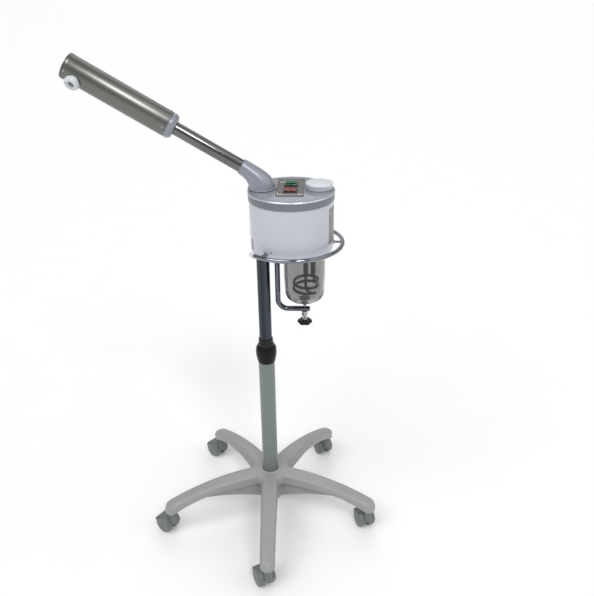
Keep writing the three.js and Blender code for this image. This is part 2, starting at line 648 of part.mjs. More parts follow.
addPiece(head, 'filler_cap', fillerCap(), 'white_plastic');
addPiece(head, 'control_panel', controlPanel(), 'panel');
addSwitch(head, 'green', 0, 'green_lens');
addSwitch(head, 'red', 1, 'red_lens');
addPiece(head, 'glass_jar', glassJar(), 'glass');
addClamp(head);
addArm(head);

export default steamer;
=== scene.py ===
"""Salon facial steamer: looks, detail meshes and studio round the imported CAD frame."""
import json
import math
import bmesh
import bpy
from mathutils import Matrix, Vector


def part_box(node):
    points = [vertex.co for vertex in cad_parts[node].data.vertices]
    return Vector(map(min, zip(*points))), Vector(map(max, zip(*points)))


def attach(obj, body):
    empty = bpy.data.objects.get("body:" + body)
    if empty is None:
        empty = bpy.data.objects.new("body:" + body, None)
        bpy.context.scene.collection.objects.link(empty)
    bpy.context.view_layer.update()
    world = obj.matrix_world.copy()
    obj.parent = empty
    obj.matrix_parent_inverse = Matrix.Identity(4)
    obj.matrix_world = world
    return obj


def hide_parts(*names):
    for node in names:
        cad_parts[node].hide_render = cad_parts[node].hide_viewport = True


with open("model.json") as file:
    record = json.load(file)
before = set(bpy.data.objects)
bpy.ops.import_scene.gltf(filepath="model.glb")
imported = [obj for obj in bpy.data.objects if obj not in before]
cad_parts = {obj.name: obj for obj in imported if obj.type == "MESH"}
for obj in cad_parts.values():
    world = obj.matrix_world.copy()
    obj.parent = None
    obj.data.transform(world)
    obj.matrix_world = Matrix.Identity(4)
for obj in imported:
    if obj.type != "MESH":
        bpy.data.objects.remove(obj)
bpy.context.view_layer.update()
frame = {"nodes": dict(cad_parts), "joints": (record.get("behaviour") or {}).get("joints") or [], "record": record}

MM = 0.001
JOINTS = {joint["name"]: joint for joint in frame["joints"]}
NODES = frame["nodes"]


# ---------------------------------------------------------------- frames of the assembly
def at_joint(name):
    return Vector(JOINTS[name]["pos_m"])


def basis(origin, x, y, z):
    m = Matrix((x, y, z)).transposed().to_4x4()
    m.translation = origin
    return m


UP = Vector((0, 0, 1))
COLUMN = at_joint("head_swivel")
COLUMN.z = 0
towards_body = at_joint("bracket_swing") - at_joint("head_swivel")
towards_body.z = 0
towards_body.normalize()
BASE = Matrix.Translation(COLUMN)
HEAD = basis(COLUMN, towards_body, UP.cross(towards_body), UP)
HEAD_Y = UP.cross(towards_body)
arm_axis = Vector(JOINTS["arm_twist"]["axis"]).normalized()
ARM = basis(at_joint("arm_twist"), HEAD_Y.cross(arm_axis), HEAD_Y, arm_axis)
nozzle_axis = Vector(JOINTS["nozzle_spin"]["axis"]).normalized()
NOZZLE = basis(at_joint("nozzle_spin") - nozzle_axis * 0.035,
               arm_axis, nozzle_axis.cross(arm_axis), nozzle_axis)


def castor_frame(k):
    stem = at_joint(f"castor_{k}_swivel")
    stem.z = 0
    way = at_joint(f"castor_{k}_left_spin") - stem
    way.z = 0
    way.normalize()
    return basis(stem, way, UP.cross(way), UP)


# ---------------------------------------------------------------- materials
def srgb(r, g, b):
    def lin(c):
        c /= 255
        return c / 12.92 if c <= 0.04045 else ((c + 0.055) / 1.055) ** 2.4
    return (lin(r), lin(g), lin(b), 1)


def node_material(name, color, rough, metal=0.0, tint=0.12, tint_scale=6.0, rough_spread=0.08,
                  grain=900.0, bump=0.06, stretch=(1, 1, 1), wear=0.0, **direct):
    """Plastic, paint or metal: mottled colour, uneven gloss, a fine grain, and paler rubbed edges."""
    mat = bpy.data.materials.new(name)
    mat.use_nodes = True
    nodes, links = mat.node_tree.nodes, mat.node_tree.links
    bsdf = nodes["Principled BSDF"]
    bsdf.inputs["Metallic"].default_value = metal
    for socket, value in direct.items():
        bsdf.inputs[socket.replace("_", " ")].default_value = value
    coord = nodes.new("ShaderNodeTexCoord")
    mapping = nodes.new("ShaderNodeMapping")
    mapping.inputs["Scale"].default_value = stretch
    links.new(coord.outputs["Object"], mapping.inputs["Vector"])

    cloud = nodes.new("ShaderNodeTexNoise")
    cloud.inputs["Scale"].default_value = tint_scale
    cloud.inputs["Detail"].default_value = 6
    links.new(mapping.outputs["Vector"], cloud.inputs["Vector"])
    ramp = nodes.new("ShaderNodeValToRGB")
    ramp.color_ramp.elements[0].position = 0.3
    ramp.color_ramp.elements[1].position = 0.7
    ramp.color_ramp.elements[0].color = [c * (1 - tint) for c in color[:3]] + [1]
    ramp.color_ramp.elements[1].color = [min(1, c * (1 + tint)) for c in color[:3]] + [1]
    links.new(cloud.outputs["Fac"], ramp.inputs["Fac"])
    tone = ramp.outputs["Color"]
    if wear:
        geometry = nodes.new("ShaderNodeNewGeometry")
        edge = nodes.new("ShaderNodeMapRange")
        edge.inputs["From Min"].default_value = 0.52
        edge.inputs["From Max"].default_value = 0.6
        edge.inputs["To Max"].default_value = wear
        links.new(geometry.outputs["Pointiness"], edge.inputs["Value"])
        mix = nodes.new("ShaderNodeMix")
        mix.data_type = "RGBA"
        mix.inputs["B"].default_value = [min(1, c * 1.5 + 0.05) for c in color[:3]] + [1]
        links.new(edge.outputs["Result"], mix.inputs["Factor"])
        links.new(tone, mix.inputs["A"])
        tone = mix.outputs["Result"]
    links.new(tone, bsdf.inputs["Base Color"])

    fine = nodes.new("ShaderNodeTexNoise")
    fine.inputs["Scale"].default_value = grain
    fine.inputs["Detail"].default_value = 3
    links.new(mapping.outputs["Vector"], fine.inputs["Vector"])
    gloss = nodes.new("ShaderNodeMapRange")
    gloss.inputs["To Min"].default_value = max(0.02, rough - rough_spread)
    gloss.inputs["To Max"].default_value = rough + rough_spread
    blend = nodes.new("ShaderNodeMath")
    blend.operation = "ADD"
    half = nodes.new("ShaderNodeMath")
    half.operation = "MULTIPLY"
    half.inputs[1].default_value = 0.5
    links.new(cloud.outputs["Fac"], blend.inputs[0])
    links.new(fine.outputs["Fac"], blend.inputs[1])
    links.new(blend.outputs["Value"], half.inputs[0])
    links.new(half.outputs["Value"], gloss.inputs["Value"])
    links.new(gloss.outputs["Result"], bsdf.inputs["Roughness"])
    relief = nodes.new("ShaderNodeBump")
    relief.inputs["Strength"].default_value = bump
    relief.inputs["Distance"].default_value = 0.0004
    links.new(fine.outputs["Fac"], relief.inputs["Height"])
    links.new(relief.outputs["Normal"], bsdf.inputs["Normal"])
    return mat


def clear_material(name, color, rough, ior, tint=0.05):
    """Glass or clear plastic with faint streaks in its gloss."""
    mat = node_material(name, color, rough, tint=tint, tint_scale=14, rough_spread=rough * 0.7,
                        grain=220, bump=0.015, Transmission_Weight=1.0, IOR=ior)
    return mat


RING = (1, 1, 90)  # brushed round the piece's own Z axis
MATERIALS = {
    "base_plastic": node_material("base_plastic", srgb(146, 147, 147), 0.42, tint=0.05, grain=1400,
                                  bump=0.10, wear=0.25),
    "castor_plastic": node_material("castor_plastic", srgb(100, 107, 104), 0.45, tint=0.08, grain=1200,
                                    bump=0.10, wear=0.3),
    "wheel_tread": node_material("wheel_tread", srgb(106, 111, 110), 0.4, tint=0.10, grain=900, bump=0.12,
                                 wear=0.35),
    "stem_steel": node_material("stem_steel", srgb(170, 172, 176), 0.28, 1.0, tint=0.1, grain=60,
                                bump=0.05, stretch=RING),
    "column_paint": node_material("column_paint", srgb(110, 119, 118), 0.36, 0.1, tint=0.05, grain=700,
                                  bump=0.05, tint_scale=9, Coat_Weight=0.25, Coat_Roughness=0.2),
    "collet_plastic": node_material("collet_plastic", srgb(16, 17, 20), 0.2, tint=0.2, grain=400, bump=0.03,
                                    Specular_IOR_Level=0.3),
    "collar_plastic": node_material("collar_plastic", srgb(12, 12, 13), 0.38, tint=0.25, grain=900, bump=0.12,
                                    wear=0.12, Specular_IOR_Level=0.2),
    # mast chrome: the vertical light and dark streaks in its colour are painted reflections
    "mast_chrome": node_material("mast_chrome", srgb(61, 66, 73), 0.12, 1.0, tint=0.5, tint_scale=70,
                                 rough_spread=0.05, grain=300, bump=0.005, stretch=(1, 1, 0.01)),
    "handle_chrome": node_material("handle_chrome", srgb(96, 100, 109), 0.1, 1.0, tint=0.35,
                                   tint_scale=46, rough_spread=0.05, grain=300, bump=0.005),
    "cast_metal": node_material("cast_metal", srgb(70, 68, 66), 0.6, 0.6, tint=0.2, grain=500, bump=0.4),
    "housing_plastic": node_material("housing_plastic", srgb(187, 190, 200), 0.3, tint=0.025, grain=1200,
                                     bump=0.035, tint_scale=5, Coat_Weight=0.3, Coat_Roughness=0.15),
    "cover_plastic": node_material("cover_plastic", srgb(139, 143, 154), 0.34, 0.25, tint=0.06, grain=2200,
                                   bump=0.06, tint_scale=12, Coat_Weight=0.3, Coat_Roughness=0.2),
    "black_plastic": node_material("black_plastic", srgb(24, 25, 27), 0.35, tint=0.2, grain=1400, bump=0.1),
    "seat_steel": node_material("seat_steel", srgb(176, 176, 176), 0.3, 1.0, tint=0.1, grain=80, bump=0.05,
                                stretch=RING),
    "silicone": node_material("silicone", srgb(214, 208, 196), 0.6, tint=0.06, grain=500, bump=0.08,
                              Subsurface_Weight=0.1),
    "element_steel": node_material("element_steel", srgb(72, 72, 75), 0.28, 1.0, tint=0.35,
                                   tint_scale=60, grain=500, bump=0.03),
    "panel_plastic": node_material("panel_plastic", srgb(95, 91, 90), 0.45, tint=0.06, grain=1800,
                                   bump=0.08),
    "green_lens": node_material("green_lens", srgb(14, 72, 50), 0.2, tint=0.18, tint_scale=50, grain=500,
                                bump=0.03, Coat_Weight=0.4, Subsurface_Weight=0.15),
    "red_lens": node_material("red_lens", srgb(106, 26, 22), 0.2, tint=0.18, tint_scale=50, grain=500,
                              bump=0.03, Coat_Weight=0.4, Subsurface_Weight=0.15),
    "cap_plastic": node_material("cap_plastic", srgb(203, 207, 211), 0.25, tint=0.02, grain=900, bump=0.04,
                                 Subsurface_Weight=0.08),
    "jar_glass": clear_material("jar_glass", (0.48, 0.48, 0.47, 1), 0.025, 1.46),
    "pad_rubber": node_material("pad_rubber", srgb(38, 38, 40), 0.75, tint=0.2, grain=700, bump=0.3),
    "barrel_steel": node_material("barrel_steel", srgb(116, 118, 114), 0.3, 1.0, tint=0.03, tint_scale=3,
                                  rough_spread=0.02, grain=20, bump=0.004, stretch=RING,
                                  Anisotropic=0.5),
    "lamp_glass": clear_material("lamp_glass", (0.85, 0.9, 1.0, 1), 0.03, 1.45),
}
PRINT_WHITE = node_material("print_white", srgb(214, 218, 216), 0.5, tint=0.04, grain=1500, bump=0.03)
# paler copy of the green lens for the rocker's raised face: painted light on the lit face
PALE_LENS_PAINTED_LIGHT = node_material("green_lens_painted_light", srgb(60, 112, 88), 0.2, tint=0.15, tint_scale=60, grain=400,
                          bump=0.03, Coat_Weight=0.6)
# darker copy of the cover plastic for the upright band: painted shade
COVER_BAND_PAINTED_SHADE = node_material("cover_band_painted_shade", srgb(112, 117, 126), 0.4, 0.3, tint=0.05, grain=2200, bump=0.06,
                     tint_scale=12, Coat_Weight=0.2, Coat_Roughness=0.3)
# lighter copy of the mast chrome for the arm tube: painted highlight
ARM_CHROME_PAINTED_HIGHLIGHT = node_material("arm_chrome_painted_highlight", srgb(112, 113, 114), 0.14, 1.0, tint=0.12, tint_scale=16,
                           rough_spread=0.05, grain=300, bump=0.01)
# brighter copy of the handle chrome for the ring: painted highlight
RING_CHROME_PAINTED_HIGHLIGHT = node_material("ring_chrome_painted_highlight", srgb(136, 139, 146), 0.1, 1.0, tint=0.3, tint_scale=46,
                            rough_spread=0.05, grain=300, bump=0.005)
PIN_BRASS = node_material("pin_brass", srgb(196, 190, 168), 0.25, 1.0, tint=0.1, grain=300, bump=0.02)
# brighter copy of the cover plastic for the rim lip: painted highlight
RIM_PAINTED_HIGHLIGHT = node_material("rim_painted_highlight", srgb(206, 210, 218), 0.22, 0.7, tint=0.04, grain=1800, bump=0.02)
LABEL_GREY = node_material("label_grey", srgb(128, 124, 124), 0.4, tint=0.12, tint_scale=70, grain=900,
                           bump=0.04)


# ---------------------------------------------------------------- mesh helpers (millimetres)
def fillet(points, radius, closed=False, steps=4):
    """Rounds every corner of a list of 2-D points, the ends of an open one left as they are."""
    out = []
    count = len(points)
    for i, (x, y) in enumerate(points):
        if not closed and i in (0, count - 1):
            out.append((x, y))
            continue
        p = Vector((x, y))
        a = Vector(points[i - 1]) - p
        b = Vector(points[(i + 1) % count]) - p
        if a.length < 1e-6 or b.length < 1e-6 or abs(a.angle(b) - math.pi) < 0.15:
            out.append((x, y))
            continue
        reach = min(radius, a.length * 0.45, b.length * 0.45)
        start, end = p + a.normalized() * reach, p + b.normalized() * reach
        for s in range(steps + 1):
            t = s / steps
            q = start * (1 - t) ** 2 + p * 2 * t * (1 - t) + end * t * t
            out.append((q.x, q.y))
    return out


def lathe(profile, sides=96):
    """Closed surface turned about Z from (radius, z) points, open ends on the axis or a closed loop."""
    verts, faces, rings = [], [], []
    closed = profile[0][0] > 1e-6
    for r, z in profile:
        if r < 1e-6:
            rings.append([len(verts)])
            verts.append((0, 0, z))
            continue
        rings.append(list(range(len(verts), len(verts) + sides)))
        for i in range(sides):
            a = 2 * math.pi * i / sides
            verts.append((r * math.cos(a), r * math.sin(a), z))
    pairs = list(zip(rings, rings[1:])) + ([(rings[-1], rings[0])] if closed else [])
    for low, high in pairs:
        for i in range(sides):
            j = (i + 1) % sides
            if len(low) == 1 and len(high) == 1:
                continue
            if len(low) == 1:
                faces.append((low[0], high[j], high[i]))
            elif len(high) == 1:
                faces.append((low[i], low[j], high[0]))
            else:
                faces.append((low[i], low[j], high[j], high[i]))
    return verts, faces


def drum(radius, low, high, sides=48):
    """Plain cylinder on the Z axis, mostly to cut holes with."""
    return lathe([(0, low), (radius, low), (radius, high), (0, high)], sides)


def loft(sections, capped=True):
    """Skin over loops with equally many points."""
    verts = [tuple(p) for loop in sections for p in loop]
    n = len(sections[0])
    faces = []
    for s in range(len(sections) - 1):
        for i in range(n):
            j = (i + 1) % n
            faces.append((s * n + i, s * n + j, (s + 1) * n + j, (s + 1) * n + i))
    if capped:
        faces.append(tuple(reversed(range(n))))
        faces.append(tuple(range((len(sections) - 1) * n, len(sections) * n)))
    return verts, faces


def spline(points, per=10):
    """Smooth path through 3-D points."""
    pts = [Vector(p) for p in points]
    pts = [pts[0] * 2 - pts[1]] + pts + [pts[-1] * 2 - pts[-2]]
    out = []
    for i in range(1, len(pts) - 2):
        a, b, c, d = pts[i - 1:i + 3]
        for s in range(per):
            t = s / per
            out.append(0.5 * (2 * b + (c - a) * t + (2 * a - 5 * b + 4 * c - d) * t ** 2
                              + (3 * b - a - 3 * c + d) * t ** 3))
    out.append(pts[-2])
    return out


def sweep(path, radius, sides=24, round_ends=True):
    """Round bar along a path of 3-D points; radius is a number or a function of the part gone."""
    path = [Vector(p) for p in path]
    radius_at = radius if callable(radius) else (lambda t: radius)
    normal = None
    sections = []
    stations = []
    total = len(path) - 1
    for i, p in enumerate(path):
        tangent = (path[min(i + 1, total)] - path[max(i - 1, 0)]).normalized()
        if normal is None:
            normal = tangent.orthogonal().normalized()
        normal = (normal - tangent * normal.dot(tangent)).normalized()
        stations.append((p, tangent, normal.copy(), radius_at(i / total)))
    if round_ends:
        p, tangent, n0, r = stations[0]
        front = [(p - tangent * r * math.sin(a), tangent, n0, r * math.cos(a))
                 for a in (1.45, 1.2, 0.9, 0.6, 0.3)]
        p, tangent, n1, r = stations[-1]
        back = [(p + tangent * r * math.sin(a), tangent, n1, r * math.cos(a))
                for a in (0.3, 0.6, 0.9, 1.2, 1.45)]
        stations = front + stations + back
    for p, tangent, n0, r in stations:
        side = tangent.cross(n0)
        sections.append([p + (n0 * math.cos(a) + side * math.sin(a)) * r
                         for a in (2 * math.pi * k / sides for k in range(sides))])
    return loft(sections)


def slab(outline, z0, z1, edge=0.6):
    """Plate with rounded top and bottom edges from a 2-D outline."""
    centre = Vector((sum(p[0] for p in outline), sum(p[1] for p in outline))) / len(outline)
    size = max((Vector(p) - centre).length for p in outline)
    sections = []
    for inset, z in ((edge, z0), (edge * 0.3, z0 + edge * 0.3), (0, z0 + edge),
                     (0, z1 - edge), (edge * 0.3, z1 - edge * 0.3), (edge, z1)):
        k = 1 - inset / size
        sections.append([(centre.x + (x - centre.x) * k, centre.y + (y - centre.y) * k, z)
                         for x, y in outline])
    return loft(sections)


def rectangle(x0, x1, y0, y1, radius, steps=5):
    return fillet([(x0, y0), (x1, y0), (x1, y1), (x0, y1)], radius, closed=True, steps=steps)


def join(*parts):
    verts, faces = [], []
    for v, f in parts:
        start = len(verts)
        verts += v
        faces += [tuple(i + start for i in face) for face in f]
    return verts, faces


def shift(part, matrix):
    verts, faces = part
    return [tuple(matrix @ Vector(v)) for v in verts], faces


def move(part, x=0, y=0, z=0):
    return shift(part, Matrix.Translation((x, y, z)))


def raw_object(name, part, matrix=None):
    verts, faces = part
    mesh = bpy.data.meshes.new(name)
    mesh.from_pydata([tuple(c * MM for c in v) for v in verts], [], faces)
    bm = bmesh.new()
    bm.from_mesh(mesh)
    bmesh.ops.remove_doubles(bm, verts=bm.verts, dist=1e-7)
    bmesh.ops.recalc_face_normals(bm, faces=bm.faces)
    bm.to_mesh(mesh)
    bm.free()
    obj = bpy.data.objects.new(name, mesh)
    if matrix is not None:
        obj.matrix_world = matrix
    bpy.context.scene.collection.objects.link(obj)
    return obj


def applied(obj):
    """Bakes an object's modifiers into its mesh."""
    bpy.context.view_layer.update()
    graph = bpy.context.evaluated_depsgraph_get()
    mesh = bpy.data.meshes.new_from_object(obj.evaluated_get(graph))
    obj.modifiers.clear()
    old = obj.data
    obj.data = mesh
    bpy.data.meshes.remove(old)
    return obj


def boolean(obj, part, operation):
    other = raw_object("tool", part, obj.matrix_world.copy())
    mod = obj.modifiers.new("bool", "BOOLEAN")
    mod.operation = operation
    mod.object = other
    mod.solver = "EXACT"
    applied(obj)
    bpy.data.objects.remove(other)
    return obj


def remesh(obj, voxel, smooth_steps=6, factor=0.5):
    mod = obj.modifiers.new("remesh", "REMESH")
    mod.mode = "VOXEL"
    mod.voxel_size = voxel * MM
    mod.use_smooth_shade = True
    if smooth_steps:
        smooth = obj.modifiers.new("smooth", "SMOOTH")
        smooth.iterations = smooth_steps
        smooth.factor = factor
    return applied(obj)


def finish_piece(obj, body, slot, replaces=(), sharp=38, mat=None):
    obj.data.materials.clear()
    obj.data.materials.append(mat or MATERIALS[slot])
    obj.data.polygons.foreach_set("use_smooth", [True] * len(obj.data.polygons))
    obj.data.set_sharp_from_angle(angle=math.radians(sharp))
    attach(obj, body)
    if replaces:
        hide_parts(*replaces)
    return obj


def piece(name, part, matrix, body, slot, replaces=(), sharp=38, mat=None):
    return finish_piece(raw_object(name, part, matrix), body, slot, replaces, sharp, mat)


def screw(name, x, y, z, direction, radius, matrix, body):
    """Pan-head screw with a cross recess, its head standing along direction."""
    dome = [(0, 0), (radius, 0), (radius, radius * 0.25), (radius * 0.8, radius * 0.55),
            (radius * 0.4, radius * 0.7), (0, radius * 0.72)]
    turn = Vector((0, 0, 1)).rotation_difference(Vector(direction)).to_matrix().to_4x4()
    obj = raw_object(name, lathe(dome, 32), matrix @ Matrix.Translation(Vector((x, y, z)) * MM) @ turn)
    arm, width, top = radius * 0.55, radius * 0.13, radius * 0.45
    for half_x, half_y in ((arm, width), (width, arm)):
        boolean(obj, slab(rectangle(-half_x, half_x, -half_y, half_y, width * 0.4, 2), top, radius, 0.02),
                "DIFFERENCE")
    return finish_piece(obj, body, "stem_steel")


for node, obj in NODES.items():
    wanted = next(s["material_slot"] for s in frame["record"]["subparts"] if s["node"] == node)
    obj.data.materials.clear()
    obj.data.materials.append(MATERIALS[wanted])


# ---------------------------------------------------------------- star base
LEG_DIRECTIONS = []
for number in range(1, 6):
    way = at_joint(f"castor_{number}_swivel") - COLUMN
    LEG_DIRECTIONS.append(math.atan2(way.y, way.x))
LEG_REACH, TIP_R = 285.0, 19.0
HUB_TOP, TIP_TOP, TIP_FOOT = 150.0, 104.0, 74.0
BASE_FACES_KEPT = 0.45  # keeps the star base under the export's 200,000 faces


def leg_top(r):
    return HUB_TOP - (HUB_TOP - TIP_TOP) * max(0, (r - 40) / (LEG_REACH - 40)) ** 2.2


def leg_foot(r):
    return max(TIP_FOOT, 120 - 46 * max(0, (r - 100) / (LEG_REACH - 100)) ** 2.4)


def leg_half(r):
    if r < 100:
        return 22.5
    return 22.5 - 3.5 * (r - 100) / (LEG_REACH - 100)


def leg_section(r, half, foot, top, corner, crown=1.0):
    """Arch across the leg: straight sides, round shoulders and a slightly crowned top."""
    corner = min(corner, half * 0.98)
    points = [(-half, foot)]
    for s in range(8):
        a = math.pi - (math.pi / 2) * s / 7
        points.append((-half + corner + corner * math.cos(a), top - corner + corner * math.sin(a)))
    for s in range(1, 6):
        x = (-half + corner) + (2 * (half - corner)) * s / 6
        points.append((x, top + crown * (1 - (x / max(half - corner, 0.1)) ** 2)))
    for s in range(8):
        a = math.pi / 2 * (1 - s / 7)
        points.append((half - corner + corner * math.cos(a), top - corner + corner * math.sin(a)))
    points.append((half, foot))
    return [(r, x, z) for x, z in points]


def leg_shell():
    sections = []
    for i in range(26):
        r = 24 + (LEG_REACH - 24) * i / 25
        sections.append(leg_section(r, leg_half(r), leg_foot(r), leg_top(r), 9.5))
    for i in range(1, 10):
        a = math.pi / 2 * i / 10
        half = TIP_R * math.cos(a)
        r = LEG_REACH + TIP_R * math.sin(a)
        drop = 9 * (1 - math.sqrt(max(0, 1 - max(0, (r - LEG_REACH - 9) / 10) ** 2)))
        sections.append(leg_section(r, half, TIP_FOOT, leg_top(r) - drop, 9.5, crown=0.4))
    return loft(sections)


def leg_pocket():
    sections = []
    end = LEG_REACH - 22
    for i in range(16):
        r = 30 + (end - 30) * i / 15
        sections.append(leg_section(r, leg_half(r) - 4, TIP_FOOT - 25, leg_top(r) - 4, 6.5))
    return loft(sections)


def leg_web():
    side = [(r, 100 - 56 * (1 - r / 230) ** 2) for r in range(27, 228, 8)]
    roof = [(r, leg_top(r) - 2) for r in range(27, 228, 8)]
    outline = side + roof[::-1]
    return loft([[(r, y, z) for r, z in outline] for y in (-6, 6)])


def star_base():
    leg = raw_object("leg", leg_shell())
    boolean(leg, leg_pocket(), "DIFFERENCE")
    verts = [tuple(c / MM for c in v.co) for v in leg.data.vertices]
    faces = [tuple(p.vertices) for p in leg.data.polygons]
    bpy.data.objects.remove(leg)
    shell, web = (verts, faces), leg_web()
    parts = []
    for direction in LEG_DIRECTIONS:
        turn = Matrix.Rotation(direction, 4, "Z")
        parts += [shift(shell, turn), shift(web, turn)]
    hub = lathe([(21.4, 55), (31, 55), (31.5, 118), (48, 121), (52, 138), (50, 148.5), (27, 150),
                 (25.5, 152.5), (23.5, 153), (21.4, 152.6)], 72)
    base = raw_object("star_base_visual", join(hub, *parts), BASE.copy())
    remesh(base, 1.5, 5)
    thin = base.modifiers.new("thin", "DECIMATE")
    thin.ratio = BASE_FACES_KEPT
    applied(base)
    return finish_piece(base, "base", "base_plastic", ["star_base"], sharp=60)


star_base()


# ---------------------------------------------------------------- castors
AXLE_Z = at_joint("castor_1_left_spin").z / MM
TRAIL = (at_joint("castor_1_left_spin") - at_joint("castor_1_swivel")).xy.length / MM
WHEEL_R = AXLE_Z + 0.2
WHEEL_IN, WHEEL_OUT = 5.5, 23.5
HOOD_R, HOOD_HALF, HOOD_TOP = 28.5, 21.5, 70.5


def along_axle(part):
    return move(shift(part, Matrix.Rotation(-math.pi / 2, 4, "X")), TRAIL, 0, AXLE_Z)


def castor_hood(name, matrix, body, node):
    arch = []
    low = 4.0
    reach = math.asin(low / HOOD_R)
    for y, r in ((-HOOD_HALF, HOOD_R - 1.4), (-HOOD_HALF + 0.5, HOOD_R - 0.5), (-HOOD_HALF + 1.6, HOOD_R),
                 (HOOD_HALF - 1.6, HOOD_R), (HOOD_HALF - 0.5, HOOD_R - 0.5), (HOOD_HALF, HOOD_R - 1.4)):
        loop = [(TRAIL + r * math.cos(a), y, AXLE_Z + r * math.sin(a))
                for a in (reach + (math.pi - 2 * reach) * i / 40 for i in range(41))]
        arch.append(loop)
    hood = raw_object(name, loft(arch), matrix)
    room = along_axle(drum(WHEEL_R + 1.2, 4.5, 40, 64))
    boolean(hood, room, "DIFFERENCE")
    boolean(hood, along_axle(drum(WHEEL_R + 1.2, -40, -4.5, 64)),
            "DIFFERENCE")
    boss = lathe(fillet([(0, AXLE_Z + 8), (11, AXLE_Z + 8), (11, HOOD_TOP), (0, HOOD_TOP)], 1.2), 48)
    boolean(hood, boss, "UNION")
    bearing = [(TRAIL + 9 * math.cos(a), AXLE_Z + 9 * math.sin(a))
               for a in (math.pi + math.pi * i / 20 for i in range(21))]
    bearing += [(TRAIL + 9, AXLE_Z + 12), (TRAIL - 9, AXLE_Z + 12)]
    boolean(hood, loft([[(x, y, z) for x, z in bearing] for y in (-4.5, 4.5)]), "UNION")
    boolean(hood, drum(5.8, 40, 80, 32), "DIFFERENCE")
    return finish_piece(hood, body, "castor_plastic", [node])


def castor_wheel(name, side, matrix, body, node):
    r = WHEEL_R
    profile = fillet([(3.4, WHEEL_IN), (r - 1.2, WHEEL_IN), (r, WHEEL_IN + 1.2), (r, WHEEL_OUT - 5),
                      (r - 1.4, WHEEL_OUT - 1.6), (r - 3.6, WHEEL_OUT - 0.4), (r - 4.6, WHEEL_OUT - 0.9),
                      (r - 5.6, WHEEL_OUT - 0.2), (14, WHEEL_OUT), (8, WHEEL_OUT), (7, WHEEL_OUT - 0.9),
                      (3.4, WHEEL_OUT - 0.9)], 0.8, closed=True, steps=3)
    wheel = lathe(profile, 64)
    if side < 0:
        wheel = shift(wheel, Matrix.Scale(-1, 4, (0, 0, 1)))
    return piece(name, along_axle(wheel), matrix, body, "wheel_tread", [node])


for number in range(1, 6):
    tag = f"castor_{number}"
    at = castor_frame(number)
    castor_hood(f"{tag}_hood_visual", at, f"{tag}_fork", f"{tag}_hood")
    castor_wheel(f"{tag}_wheel_left_visual", 1, at, f"{tag}_left", f"{tag}_wheel_left")
    castor_wheel(f"{tag}_wheel_right_visual", -1, at, f"{tag}_right", f"{tag}_wheel_right")
    for side in (1, -1):
        cap = lathe(fillet([(0, 19.2), (6.2, 19.2), (6.2, 22.2), (4, 22.9), (0, 23)], 0.6), 32)
        if side < 0:
            cap = shift(cap, Matrix.Scale(-1, 4, (0, 0, 1)))
        wheel_body = f"{tag}_left" if side > 0 else f"{tag}_right"
        piece(f"{tag}_hub_cap_{'left' if side > 0 else 'right'}", along_axle(cap), at, wheel_body,
              "castor_plastic")


# ---------------------------------------------------------------- column
piece("lower_column_visual", lathe(fillet([(19, 57), (21, 57), (21, 520), (19, 520)], 0.6, True), 96),
      BASE, "base", "column_paint", ["lower_column"])
piece("column_collet_visual", lathe(fillet([(16.3, 455), (18.7, 455), (18.7, 520.3), (20.7, 520.3),
                                            (20.7, 550), (20.2, 557), (19.4, 562), (18.6, 563),
                                            (18.4, 571), (17.6, 574), (16.3, 574)], 1.0, True), 96), BASE,
      "base", "collet_plastic", ["column_collet"])
collar = [(21.3, 505), (22.2, 505), (23.6, 511), (25.8, 522), (26.6, 530), (26.6, 539), (25, 547),
          (22.6, 552), (21.3, 553)]
piece("height_lock_collar_visual", lathe(fillet(collar, 2.2, True), 96), BASE, "lock", "collar_plastic",
      ["height_lock_collar"])
for number, (low, high, radius) in enumerate(((512.5, 514, 24.4), (543.4, 545, 26.0)), 1):
    piece(f"collar_bead_{number}", lathe(fillet([(radius - 1.4, low - 0.6), (radius, low), (radius, high),
                                                 (radius - 1.4, high + 0.6)], 0.4, True), 96),
          BASE, "lock", "collar_plastic")
piece("upper_column_visual", lathe(fillet([(14.3, 335), (16, 335), (16, 858), (14.3, 858)], 0.6, True), 96),
      BASE, "mast", "mast_chrome", ["upper_column"])


# ---------------------------------------------------------------- head: housing
def node_mid_head(node):
    low, high = (Vector(c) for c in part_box(node))
    return (HEAD.inverted() @ ((low + high) / 2)) / MM


BODY_X = node_mid_head("base_plate").x
JAR_X = node_mid_head("glass_jar").x
FILLER_X = node_mid_head("filler_cap").x
SHELL_R, COVER_TOP = 98.0, 966.5
MOUTH = (HEAD.inverted() @ at_joint("arm_twist")) / MM
ARM_TILT = math.asin(arm_axis.z)
green_at = (HEAD.inverted() @ at_joint("green_press")) / MM
red_at = (HEAD.inverted() @ at_joint("red_press")) / MM
SWITCH_X, PIVOT_Z = green_at.x, green_at.z
SWITCH_Y = (green_at.y, red_at.y)

shell = raw_object("housing_shell_visual", move(lathe(fillet(
    [(95.5, 829), (97.4, 829), (98, 829.8), (98, 944), (95.5, 944)], 0.5, True), 160), BODY_X), HEAD)
boolean(shell, slab([(BODY_X - 14, 60), (BODY_X + 14, 60), (BODY_X + 14, 120), (BODY_X - 14, 120)],
                    845, 867, 0.1), "DIFFERENCE")
finish_piece(shell, "head", "housing_plastic", ["housing_shell"])

